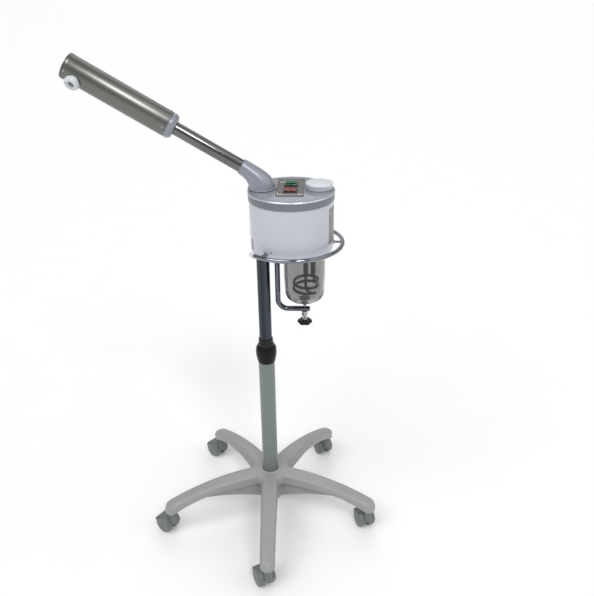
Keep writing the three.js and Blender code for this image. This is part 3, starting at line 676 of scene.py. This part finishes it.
cover = raw_object("top_cover_visual", move(lathe(
    [(0, 962.2)] + fillet([(96.8, 962.2), (96.8, 960.7), (99.6, 960.7), (100.3, 961.6), (100.3, 963.2),
                           (98.8, 965.4), (96.4, 966.4), (93.4, 965.8), (90, 966.5)], 0.7)
    + [(0, 966.5)], 160), BODY_X), HEAD)
boolean(cover, move(drum(20.5, 950, 975, 64), FILLER_X), "DIFFERENCE")
for y in SWITCH_Y:
    boolean(cover, slab(rectangle(SWITCH_X - 15, SWITCH_X + 15, y - 12.3, y + 12.3, 1), 950, 975, 0.1),
            "DIFFERENCE")
finish_piece(cover, "head", "cover_plastic", ["top_cover"], sharp=50)
# thin bright ring laid over the cover's rim lip: painted highlight
piece("cover_rim_painted_highlight", move(lathe(fillet([(99.2, 960.9), (100.4, 960.7), (101, 961.6), (101, 962.8),
                                      (100, 964.2), (98.8, 964.6)], 0.5, True), 160), BODY_X), HEAD,
      "head", "cover_plastic", mat=RIM_PAINTED_HIGHLIGHT)
# the cover's upright band in a darker copy of the cover plastic: painted shade
piece("cover_band_painted_shade", move(lathe(fillet([(97, 944.3), (99.4, 944.3), (99.9, 944.9), (99.9, 959.6),
                                       (99.2, 960.4), (97, 960.4)], 0.5, True), 160), BODY_X),
      HEAD, "head", "cover_plastic", mat=COVER_BAND_PAINTED_SHADE)


def bezier(a, b, c, d, t):
    return a * (1 - t) ** 3 + b * 3 * t * (1 - t) ** 2 + c * 3 * t * t * (1 - t) + d * t ** 3


def arm_elbow():
    """Elbow whose oval foot narrows and leans over to the arm: full shoulder above, hollow sweep below."""
    along = Vector((-math.cos(ARM_TILT), math.sin(ARM_TILT)))
    up = Vector((math.sin(ARM_TILT), math.cos(ARM_TILT)))
    mouth = Vector((MOUTH.x, MOUTH.z))
    low, high = mouth - up * 18, mouth + up * 18
    foot = COVER_TOP + 0.4
    under = (Vector((-26, foot)), Vector((-27, foot + 17)), low - along * 16, low)
    over = (Vector((35, foot)), Vector((36, foot + 27)), high - along * 46, high)
    sections = []
    for i in range(29):
        t = i / 28
        a, b = bezier(*under, t), bezier(*over, t)
        centre, half = (a + b) / 2, (b - a) / 2
        deep = 31.5 + (18 - 31.5) * t ** 0.75
        sections.append([(centre.x + half.x * math.cos(q), deep * math.sin(q),
                          centre.y + half.y * math.cos(q))
                         for q in (2 * math.pi * k / 64 for k in range(64))])
    for forward, radius in ((0.5, 18.0), (1.2, 17.4), (1.5, 16.6)):
        centre = mouth + along * forward
        sections.append([(centre.x + up.x * radius * math.cos(q), radius * math.sin(q),
                          centre.y + up.y * radius * math.cos(q))
                         for q in (2 * math.pi * k / 64 for k in range(64))])
    elbow = raw_object("arm_elbow_visual", loft(sections), HEAD)
    rim = [(4.5 + 33.5 * math.cos(q), 33.2 * math.sin(q)) for q in (math.pi * k / 36 for k in range(72))]
    boolean(elbow, slab(rim, foot, foot + 3.2, 1.1), "UNION")
    bore = Matrix.Translation((MOUTH.x, 0, MOUTH.z)) @ Matrix.Rotation(ARM_TILT - math.pi / 2, 4, "Y")
    boolean(elbow, shift(drum(15.3, -28, 30, 64), bore), "DIFFERENCE")
    finish_piece(elbow, "head", "cover_plastic", ["arm_elbow"], sharp=50)


arm_elbow()

plate = raw_object("base_plate_visual", move(lathe(fillet(
    [(0, 824), (96.4, 824), (97.6, 825.2), (97.6, 828.7), (0, 828.7)], 0.5), 128), BODY_X), HEAD)
boolean(plate, move(drum(46, 800, 850, 96), JAR_X), "DIFFERENCE")
boolean(plate, drum(16.6, 800, 850, 64), "DIFFERENCE")
boolean(plate, move(drum(7, 800, 850), 34), "DIFFERENCE")
finish_piece(plate, "head", "housing_plastic", ["base_plate"])


def round_hole(obj, x, radius, z0, z1):
    boolean(obj, move(drum(radius, z0, z1), x), "DIFFERENCE")


def on_body(azimuth, radius, z):
    """Frame that stands on the housing's side: Z points out, Y up."""
    a = math.radians(azimuth)
    out = Vector((math.cos(a), math.sin(a), 0))
    return basis(Vector((BODY_X + radius * math.cos(a), radius * math.sin(a), z)), UP.cross(out), UP, out)


def body_patch(azimuth, spread, z0, z1, thick=0.5):
    """Thin plate that follows the housing's round side."""
    sections = []
    for i in range(17):
        a = math.radians(azimuth - spread / 2 + spread * i / 16)
        sections.append([(BODY_X + r * math.cos(a), r * math.sin(a), z)
                         for r, z in ((SHELL_R + 0.05, z0), (SHELL_R + thick, z0 + 0.3),
                                      (SHELL_R + thick, z1 - 0.3), (SHELL_R + 0.05, z1))])
    return loft(sections)


piece("rating_plate", body_patch(-15.5, 24, 846, 932), HEAD, "head", "housing_plastic", mat=LABEL_GREY)
piece("seam_strip", body_patch(-156, 5, 832, 858), HEAD, "head", "housing_plastic", mat=LABEL_GREY)

# ---------------------------------------------------------------- ring handle
RING_R, RING_Z, RING_HALF = 120.0, 836.0, math.radians(136.6)
hoop = sweep([(BODY_X + RING_R * math.cos(a), RING_R * math.sin(a), RING_Z)
              for a in (-RING_HALF + 2 * RING_HALF * i / 150 for i in range(151))], 5, 28)
stays = []
for azimuth in (0, 124.5, -124.5):
    stay = lathe(fillet([(0, 98.3), (6, 98.3), (6, 99.8), (3.4, 101), (2.8, 103), (2.8, 114), (3.6, 116.5),
                         (0, 118)], 0.7), 32)
    stays.append(shift(stay, Matrix.Translation((BODY_X, 0, RING_Z))
                       @ Matrix.Rotation(math.radians(azimuth), 4, "Z")
                       @ Matrix.Rotation(math.pi / 2, 4, "Y")))
# the ring in a brighter copy of the handle chrome than the rod: painted highlight
piece("ring_handle_visual", join(hoop, *stays), HEAD, "head", "handle_chrome", ["ring_handle"],
      mat=RING_CHROME_PAINTED_HIGHLIGHT)
for number, way in enumerate((1, -1), 1):
    a = way * RING_HALF
    plug = lathe(fillet([(0, -9), (5.5, -9), (5.9, -8.4), (5.9, 2.6), (4.8, 5), (0, 5.6)], 1.0), 32)
    turn = basis(Vector((BODY_X + RING_R * math.cos(a), RING_R * math.sin(a), RING_Z)),
                 Vector((math.cos(a), math.sin(a), 0)), UP * -way,
                 Vector((-math.sin(a), math.cos(a), 0)) * way)
    piece(f"ring_end_{number}", shift(plug, turn), HEAD, "head", "cap_plastic")
for number, azimuth in enumerate((-116, 116, 8), 1):
    at = on_body(azimuth, SHELL_R - 0.2, 843)
    screw(f"housing_screw_{number}", at.translation.x, at.translation.y, at.translation.z, at.col[2].xyz,
          3.2, HEAD, "head")

# ---------------------------------------------------------------- power inlet
face, inlet_z = SHELL_R + 0.3, 856
inlet = raw_object("power_inlet_visual", slab(rectangle(-17, 17, -13.5, 13.5, 2.5), 0, 2.5, 0.8),
                   HEAD @ Matrix.Translation(Vector((BODY_X, face, inlet_z)) * MM)
                   @ Matrix.Rotation(-math.pi / 2, 4, "X"))
boolean(inlet, slab(rectangle(-13.2, 13.2, -10, 10, 1.5), -26, 1, 0.2), "UNION")
boolean(inlet, slab([(-11, -7.5), (11, -7.5), (11, 4), (7.5, 7.5), (-7.5, 7.5), (-11, 4)], -15, 5, 0.1),
        "DIFFERENCE")
inlet_at = inlet.matrix_world.copy()
finish_piece(inlet, "head", "black_plastic", ["power_inlet"])
pins = join(*(slab(rectangle(x - 2, x + 2, y - 1, y + 1, 0.3, 2), -15.5, -1, 0.4)
              for x, y in ((-7, 1.5), (7, 1.5), (0, -3))))
piece("inlet_pins", pins, inlet_at, "head", "stem_steel", mat=PIN_BRASS)

# ---------------------------------------------------------------- boiler: seat, gasket, jar and heater
STEM_1_X, STEM_2_X, HOSE_X = JAR_X + 3, JAR_X + 21, JAR_X - 28
seat = raw_object("jar_seat_visual", move(lathe(fillet([(0, 820.7), (52, 820.7), (53, 821.4), (53, 823.7),
                                                        (0, 823.7)], 0.4), 96), JAR_X), HEAD)
for x, radius in ((STEM_1_X, 6.3), (STEM_2_X, 6.3), (FILLER_X, 7.9), (HOSE_X, 9.6)):
    round_hole(seat, x, radius, 800, 850)
finish_piece(seat, "head", "seat_steel", ["jar_seat"])
piece("jar_gasket_visual", move(lathe(fillet([(43.5, 817.3), (49.8, 817.3), (49.8, 820.4), (43.5, 820.4)],
                                             0.8, True), 96), JAR_X), HEAD, "head", "silicone",
      ["jar_gasket"])
jar_outer = fillet([(0, 686.8), (24, 686), (38, 687.5), (46.4, 697), (48.6, 712), (50.5, 756), (50, 792),
                    (48.6, 806), (49.6, 810), (49.4, 816.4), (48.5, 817)], 6, steps=8)
jar_inner = fillet([(45.5, 817), (45.2, 808), (46.8, 792), (47.3, 756), (45.4, 714), (42.6, 700),
                    (34, 691.6), (22, 690.2), (0, 691)], 6, steps=8)
piece("glass_jar_visual", move(lathe(jar_outer + jar_inner, 128), JAR_X), HEAD, "jar", "jar_glass",
      ["glass_jar"], sharp=60)

coil_top, pitch, coil_x = 741, 15, JAR_X + 3
coil = [(coil_x + 29 * math.cos(math.radians(-40 + 22.5 * i)), 29 * math.sin(math.radians(-40 + 22.5 * i)),
         coil_top - pitch * i / 16) for i in range(33)]
coil_foot = coil_top - pitch * 2
tube = [(STEM_2_X, 0, 832), (STEM_2_X, 0, 790), (STEM_2_X, -1, coil_top + 16),
        (STEM_2_X + 2, -9, coil_top + 4), *coil, (STEM_1_X + 13, -14, coil_foot - 3),
        (STEM_1_X + 3, -6, coil_foot + 1), (STEM_1_X, -1, coil_foot + 14), (STEM_1_X, 0, coil_top),
        (STEM_1_X, 0, 790), (STEM_1_X, 0, 832)]
sheath = lathe(fillet([(0, coil_top + 11), (4.4, coil_top + 11), (5.8, coil_top + 14), (5.8, 812),
                       (6.1, 813), (6.1, 819), (5.8, 820), (5.8, 826), (0, 826)], 0.8), 40)
sheaths = (move(sheath, STEM_1_X), move(sheath, STEM_2_X))
piece("heater_element_visual", join(sweep(spline(tube, 6), 3.6, 20), *sheaths),
      HEAD, "head", "element_steel", ["heater_element"], sharp=50)

# ---------------------------------------------------------------- filler cup and cap
piece("filler_neck_visual", move(lathe(fillet(
    [(5.5, 929), (20, 929), (20, 966.8), (30, 966.8), (30, 969.5), (17.5, 969.5), (17.5, 932), (5.5, 932)],
    0.9, True), 96), FILLER_X), HEAD, "head", "housing_plastic", ["filler_neck"])
cap_foot = 969.8
cap_verts, cap_faces = lathe(fillet(
    [(0, cap_foot - 9), (16.8, cap_foot - 9), (16.8, cap_foot), (30.4, cap_foot), (30.9, cap_foot + 3.4),
     (29.2, cap_foot + 4.3), (29.2, cap_foot + 5.1), (31.6, cap_foot + 5.7), (32, cap_foot + 7.4),
     (31.7, cap_foot + 9.6), (30.2, cap_foot + 11.6), (27.8, cap_foot + 12), (26.4, cap_foot + 10.4),
     (24.4, cap_foot + 11.2), (0, cap_foot + 12.2)], 0.7), 240)
ribbed = []
for x, y, z in cap_verts:
    r = math.hypot(x, y)
    k = 1 + 0.35 * math.cos(60 * math.atan2(y, x)) / r if r > 28 and cap_foot < z < cap_foot + 4 else 1
    ribbed.append((x * k, y * k, z))
piece("filler_cap_visual", move((ribbed, cap_faces), FILLER_X), HEAD, "cap", "cap_plastic", ["filler_cap"])

# ---------------------------------------------------------------- control panel and switches
panel_foot, panel_top = COVER_TOP + 0.3, COVER_TOP + 1.8
panel = raw_object("control_panel_visual", slab(rectangle(38, 101, -60, 72, 3), panel_foot, panel_top,
                                                0.4), HEAD)
round_hole(panel, FILLER_X, 30.8, 950, 980)
for y in SWITCH_Y:
    boolean(panel, slab(rectangle(SWITCH_X - 15, SWITCH_X + 15, y - 12.3, y + 12.3, 1), 950, 980, 0.1),
            "DIFFERENCE")
finish_piece(panel, "head", "panel_plastic", ["control_panel"])


def printed(name, outline):
    piece(name, slab(outline, panel_top - 0.05, panel_top + 0.25, 0.05), HEAD, "head", "panel_plastic",
          mat=PRINT_WHITE)


printed("print_front_line", rectangle(42, 97, -56.2, -54.8, 0.3, 2))
printed("print_left_line", rectangle(41.4, 42.8, -55, -38, 0.3, 2))
printed("print_right_line", rectangle(96.2, 97.6, -55, -44, 0.3, 2))
printed("print_dot", [(90.5 + 2.4 * math.cos(a), -49.5 + 2.4 * math.sin(a))
                      for a in (2 * math.pi * i / 24 for i in range(24))])
printed("print_mark", rectangle(46, 52, -51, -48.6, 0.4, 2))
piece("print_ring", move(lathe(fillet([(5.4, panel_top - 0.05), (6.6, panel_top - 0.05),
                                       (6.6, panel_top + 0.25), (5.4, panel_top + 0.25)], 0.05, True), 48),
                         50, 44), HEAD, "head", "panel_plastic", mat=PRINT_WHITE)


def rocker_outline(half, lift):
    """Side view of a rocker across its hinge: keel below, two gripping faces above."""
    lower = [(-half, 2.6), (-half + 1.2, -1.5), (-4, -6), (4, -6), (half - 1.2, -1.5), (half, 2.6)]
    upper = [(half - 0.9, 4.6 + lift), (half - 3, 4.3 + lift), (3, 2.9), (0, 2.5), (-3, 2.9),
             (-half + 3, 4.3), (-half + 0.9, 4.6)]
    return fillet(lower + upper, 0.8, closed=True, steps=3)


def add_switch(name, y, lift):
    at = HEAD @ Matrix.Translation(Vector((SWITCH_X, y, 0)) * MM)
    bezel_top = PIVOT_Z + 1
    frame_obj = raw_object(f"{name}_switch_frame_visual", slab(rectangle(-16.2, 16.2, -13.5, 13.5, 1.8),
                                                               bezel_top - 2, bezel_top, 0.7), at)
    boolean(frame_obj, slab(rectangle(-14.5, 14.5, -11.8, 11.8, 0.8), bezel_top - 24.3, bezel_top - 1,
                            0.2), "UNION")
    boolean(frame_obj, slab(rectangle(-13.2, 13.2, -10.3, 10.3, 0.6), bezel_top - 9.5, bezel_top + 5, 0.05),
            "DIFFERENCE")
    finish_piece(frame_obj, "head", "black_plastic", [f"{name}_switch_frame"])
    # the outline's X runs along the head's Y, its Y runs up, and it is drawn out along the hinge
    hinge = at @ Matrix.Translation(Vector((0, 0, PIVOT_Z)) * MM) @ Matrix.Rotation(math.radians(7), 4, "X")
    stand = basis(Vector((0, 0, 0)), Vector((0, 1, 0)), UP, Vector((1, 0, 0)))
    rocker = shift(slab(rocker_outline(9.4, lift), -12.8, 12.8, 0.7), stand)
    piece(f"{name}_rocker_visual", rocker, hinge, f"{name}_button", f"{name}_lens", [f"{name}_rocker"],
          sharp=45)
    return hinge


def rocker_mark(name, hinge, body, ring, y):
    """Plain ring or bar moulded on one face of a rocker."""
    tilt = Matrix.Rotation(math.radians(12 if y > 0 else -12), 4, "X")
    at = Matrix.Translation((0, y, 3.75)) @ tilt
    if ring:
        part = lathe(fillet([(1.7, -0.3), (2.5, -0.3), (2.5, 0.35), (1.7, 0.35)], 0.1, True), 32)
    else:
        part = slab(rectangle(-0.5, 0.5, -2.4, 2.4, 0.3, 2), -0.3, 0.35, 0.1)
    piece(name, shift(part, at), hinge, body, f"{body.split('_')[0]}_lens")


green_hinge = add_switch("green", green_at.y, 1.6)
red_hinge = add_switch("red", red_at.y, 0)
rocker_mark("green_mark_on", green_hinge, "green_button", False, -5.4)
rocker_mark("red_mark_on", red_hinge, "red_button", False, -5.4)
rocker_mark("red_mark_off", red_hinge, "red_button", True, 5.4)
# the green rocker's raised face, laid over in a paler copy of its lens: painted light
pale = [(0.9, 3.4), (3, 3.6), (6.4, 5.4), (8.2, 6.2), (8.2, 7.6), (6, 7.2), (3, 5.4), (0.9, 4.6)]
stand = basis(Vector((0, 0, 0)), Vector((0, 1, 0)), UP, Vector((1, 0, 0)))
piece("green_rocker_painted_light_face", shift(slab(fillet(pale, 0.5, closed=True, steps=3), -10.8, 10.8, 0.6), stand),
      green_hinge, "green_button", "green_lens", mat=PALE_LENS_PAINTED_LIGHT)

# ---------------------------------------------------------------- jar clamp
ROD_X, ROD_LOW_Z, BEND = 34.0, 657.5, 26.0
rod_path = [(ROD_X, 0, 846 - 10 * i) for i in range(17)]
rod_path += [(ROD_X + BEND - BEND * math.cos(a), 0, ROD_LOW_Z + BEND - BEND * math.sin(a))
             for a in (math.pi / 2 * i / 24 for i in range(25))]
rod_path += [(ROD_X + BEND + (113 - ROD_X - BEND) * i / 8, 0, ROD_LOW_Z) for i in range(1, 9)]
bracket = raw_object("jar_bracket_rod_visual", sweep(rod_path, lambda t: 6.5 if t < 0.999 else 6.1, 32,
                                                     False), HEAD)
boolean(bracket, move(lathe(fillet([(0, 829.3), (9, 829.3), (9.5, 830), (9.5, 834.4), (8.6, 835),
                                    (0, 835)], 0.4), 6), ROD_X), "UNION")
boolean(bracket, move(drum(3.9, ROD_LOW_Z - 12, ROD_LOW_Z + 12, 32), JAR_X), "DIFFERENCE")
finish_piece(bracket, "bracket", "handle_chrome", ["jar_bracket_rod"])
nut = [(7.6 * math.cos(a), 7.6 * math.sin(a)) for a in (math.pi / 3 * i + 0.3 for i in range(6))]
clamp_nut = raw_object("clamp_nut", move(slab(nut, 638.5, 651.5, 0.8), JAR_X), HEAD)
round_hole(clamp_nut, JAR_X, 3.9, 630, 660)
finish_piece(clamp_nut, "bracket", "stem_steel")
piece("clamp_pad_visual", move(lathe(fillet([(0, 683.7), (4, 683.7), (4, 680.7), (12, 680.7), (14, 683.2),
                                             (14, 685.7), (0, 685.7)], 0.8), 64), JAR_X), HEAD, "pad",
      "pad_rubber", ["clamp_pad"])
thread = [(0, 619), (3.0, 619), (3.6, 620)]
z = 632.0
thread += [(3.6, 626.3), (6, 626.3), (6.4, 627), (6.4, 630.4), (6, 631), (3.5, 631)]
while z < 678:
    thread += [(3.05, z), (3.6, z + 0.55), (3.6, z + 0.75)]
    z += 1.3
thread += [(3.0, 679.5), (3.0, 682.4), (2.4, 683.3), (0, 683.3)]
piece("clamp_spindle_visual", move(lathe(thread, 48), JAR_X), HEAD, "clamp_screw", "stem_steel",
      ["clamp_spindle"], sharp=25)
lobed = []
for i in range(144):
    a = 2 * math.pi * i / 144
    r = 17.1 + 1.2 * math.cos(6 * a)
    lobed.append((r * math.cos(a), r * math.sin(a)))
knob = raw_object("clamp_knob_visual", move(slab(lobed, 618, 626, 2.2), JAR_X), HEAD)
boolean(knob, move(lathe(fillet([(0, 617), (8, 617), (9, 618.6), (9, 625), (0, 625)], 0.8), 48), JAR_X),
        "UNION")
boolean(knob, move(drum(3.9, 618.7, 630, 32), JAR_X), "DIFFERENCE")
finish_piece(knob, "clamp_screw", "collar_plastic", ["clamp_knob"], sharp=50)

# ---------------------------------------------------------------- steam arm
BARREL_R, BARREL_START, BARREL_END = 29.0, 183.3, 424.0
# the arm tube in a lighter copy of the mast chrome: painted highlight
piece("arm_tube_visual", lathe(fillet([(13.5, -25), (15, -25), (15, 189.3), (13.5, 189.3)], 0.5, True),
                               96), ARM, "arm", "mast_chrome", ["arm_tube"], mat=ARM_CHROME_PAINTED_HIGHLIGHT)
spigot = BARREL_R - 1.7
piece("barrel_collar_visual", lathe(fillet([(15.3, 167), (21.5, 167), (24.5, 168.6), (28.2, 173.4),
                                            (29, 177), (29, 180.4), (28.2, 180.8), (28.2, 181.6),
                                            (29, 182), (29, 183), (spigot, 183), (spigot, 194.3),
                                            (15.3, 194.3)], 0.9, True), 112), ARM, "arm", "cover_plastic",
      ["barrel_collar"])
barrel = raw_object("barrel_shell_visual", lathe(fillet(
    [(27.6, BARREL_START), (29, BARREL_START), (29, BARREL_END), (27.6, BARREL_END)], 0.4, True), 144), ARM)
to_nozzle = ARM.inverted() @ NOZZLE
to_nozzle.translation /= MM
boolean(barrel, shift(drum(14.4, 10, 50, 64), to_nozzle), "DIFFERENCE")
finish_piece(barrel, "arm", "barrel_steel", ["barrel_shell"])
piece("barrel_end_cap_visual", lathe(fillet([(0, 415), (spigot, 415), (spigot, 424.3), (29, 424.3),
                                             (29, 425.6), (28.2, 426.8), (25.5, 427.3), (24.6, 426.8),
                                             (22, 427), (0, 427.4)], 0.5), 112), ARM, "arm",
      "barrel_steel", ["barrel_end_cap"])
piece("barrel_end_ring", lathe(fillet([(29, 419), (29.3, 419.2), (29.3, 423.8), (29, 424)], 0.1, True),
                               112), ARM, "arm", "barrel_steel")
for number, (turn, along) in enumerate(((-100, 190), (140, 190), (20, 190), (-100, 419), (100, 419)), 1):
    a = math.radians(turn)
    screw(f"barrel_screw_{number}", 28.9 * math.cos(a), 28.9 * math.sin(a), along,
          (math.cos(a), math.sin(a), 0), 2.4, ARM, "arm")
piece("ozone_lamp_visual", move(lathe(fillet([(0, 195.3), (9, 195.3), (9, 215), (8, 218), (7, 219.5),
                                              (7, 318), (5.5, 325), (2.5, 328.5), (0, 330)], 1.5), 64),
                                14), ARM, "arm", "lamp_glass", ["ozone_lamp"])
nozzle = raw_object("steam_nozzle_visual", lathe(fillet([(6.5, 20), (14, 20), (14, 29.3), (16.2, 29.3),
                                                         (16.6, 31), (16.4, 36.5), (15.4, 39.4),
                                                         (13, 41.4), (10.4, 41.5), (9, 40.2), (6.5, 37.4)],
                                                        1.0, True), 96), NOZZLE)
finish_piece(nozzle, "nozzle", "cap_plastic", ["steam_nozzle"], sharp=50)

# ---------------------------------------------------------------- stage, light and camera
floor_mat = node_material("floor", (0.9, 0.9, 0.9, 1), 0.7, tint=0.004, grain=60, bump=0.0)
bpy.ops.mesh.primitive_plane_add(size=240, location=(0, 0, 0))
floor = bpy.context.object
floor.name = "floor"
floor.data.materials.append(floor_mat)


def soft_sun(name, towards, strength, spread):
    """Even soft light from one side: towards points from the object to the light."""
    data = bpy.data.lights.new(name, "SUN")
    data.energy = strength
    data.angle = math.radians(spread)
    obj = bpy.data.objects.new(name, data)
    obj.rotation_euler = Vector(towards).to_track_quat("Z", "Y").to_euler()
    bpy.context.scene.collection.objects.link(obj)


soft_sun("key", (-0.75, -0.75, 1.5), 1.2, 40)
soft_sun("front", (0.21, -0.66, 0.72), 0.9, 16)
soft_sun("fill", (0.9, -0.3, 0.9), 0.45, 50)
soft_sun("back", (0.1, 0.9, 0.9), 0.5, 50)
world = bpy.data.worlds.new("studio")
bpy.context.scene.world = world
world.use_nodes = True
world.node_tree.nodes["Background"].inputs["Color"].default_value = (1, 1, 1, 1)
world.node_tree.nodes["Background"].inputs["Strength"].default_value = 0.4

CAMERA_HEIGHT, CAMERA_BACK = 1.4168, 1.4728
CAMERA_YAW, CAMERA_PITCH, CAMERA_ROLL = 0.0550, 0.4618, -0.0124
forward = Vector((math.sin(CAMERA_YAW) * math.cos(CAMERA_PITCH),
                  math.cos(CAMERA_YAW) * math.cos(CAMERA_PITCH), -math.sin(CAMERA_PITCH)))
right = Vector((math.cos(CAMERA_YAW), -math.sin(CAMERA_YAW), 0))
above = right.cross(forward)
rolled_right = right * math.cos(CAMERA_ROLL) + above * math.sin(CAMERA_ROLL)
rolled_above = above * math.cos(CAMERA_ROLL) - right * math.sin(CAMERA_ROLL)
camera_data = bpy.data.cameras.new("camera")
camera_data.sensor_fit = "HORIZONTAL"
camera_data.sensor_width = 36
camera_data.lens = 40.157
camera = bpy.data.objects.new("camera", camera_data)
camera.matrix_world = basis(COLUMN + Vector((0, -CAMERA_BACK, CAMERA_HEIGHT)),
                            rolled_right, rolled_above, -forward)
bpy.context.scene.collection.objects.link(camera)
bpy.context.scene.camera = camera
bpy.context.scene.view_settings.view_transform = "Standard"
